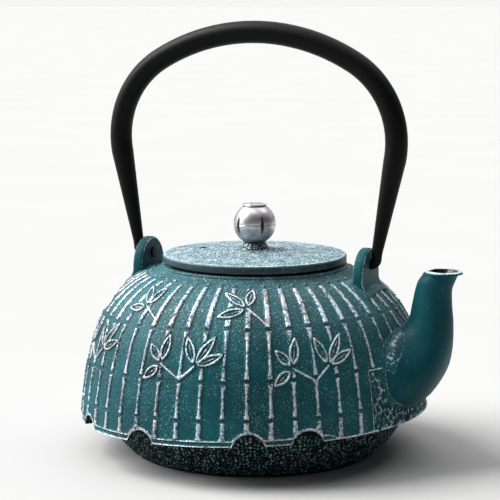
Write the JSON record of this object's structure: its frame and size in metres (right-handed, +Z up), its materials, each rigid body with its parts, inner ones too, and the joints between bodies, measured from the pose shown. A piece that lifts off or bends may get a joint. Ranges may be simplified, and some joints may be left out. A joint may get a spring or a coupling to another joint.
{
  "type": "cast iron teapot",
  "caption": "Wide round cast iron teapot with a swan-neck spout, a flat lid with a ball knob, a swinging arched bail handle and a hanging perforated infuser.",
  "frame": {"origin": "middle of the foot's flat ground face, on the pot's axis", "axes": "+Z up along the pot's axis, +X towards the spout, the handle's hinge axis along X"},
  "size_m": [0.1784, 0.1604, 0.1969],
  "materials": {
    "pot_iron": "teal paint over sand-cast iron, silver rubbed on the raised relief, black enamel inside",
    "lid_iron": "teal paint over hammered cast iron, silver rubbed on the high spots",
    "knob_metal": "satin silver",
    "rivet_steel": "plain steel",
    "handle_iron": "satin black paint",
    "infuser_steel": "perforated stainless sheet"
  },
  "bodies": {
    "pot": {"pot_body": "pot_iron", "pot_base": "pot_iron", "spout": "pot_iron", "ear_front": "pot_iron", "ear_rear": "pot_iron"},
    "handle": {"bail_handle": "handle_iron"},
    "lid": {"lid": "lid_iron", "knob_cap": "knob_metal", "knob_rivet": "rivet_steel", "rivet_washer": "rivet_steel"},
    "knob": {"knob_lower_shell": "knob_metal", "knob_upper_shell": "knob_metal"},
    "infuser": {"infuser_rim": "infuser_steel", "infuser_wall": "infuser_steel", "infuser_floor": "infuser_steel"}
  },
  "joints": [
    {"name": "handle_swing", "type": "hinge", "parent": "pot", "child": "handle", "pos_m": [0, 0, 0.0887], "axis": [1, 0, 0], "range_deg": [-105, 105]},
    {"name": "lid_lift", "type": "slide", "parent": "pot", "child": "lid", "axis": [0, 0, 1], "range_m": [0, 0.066]},
    {"name": "knob_turn", "type": "hinge", "parent": "lid", "child": "knob", "pos_m": [0, 0, 0.1046], "axis": [0, 0, 1], "continuous": true},
    {"name": "infuser_lift", "type": "slide", "parent": "pot", "child": "infuser", "axis": [0, 0, 1], "range_m": [0, 0.0462]}
  ],
  "couplings": [
    {"joint": "infuser_lift", "follows": "lid_lift", "ratio": 0.7}
  ]
}
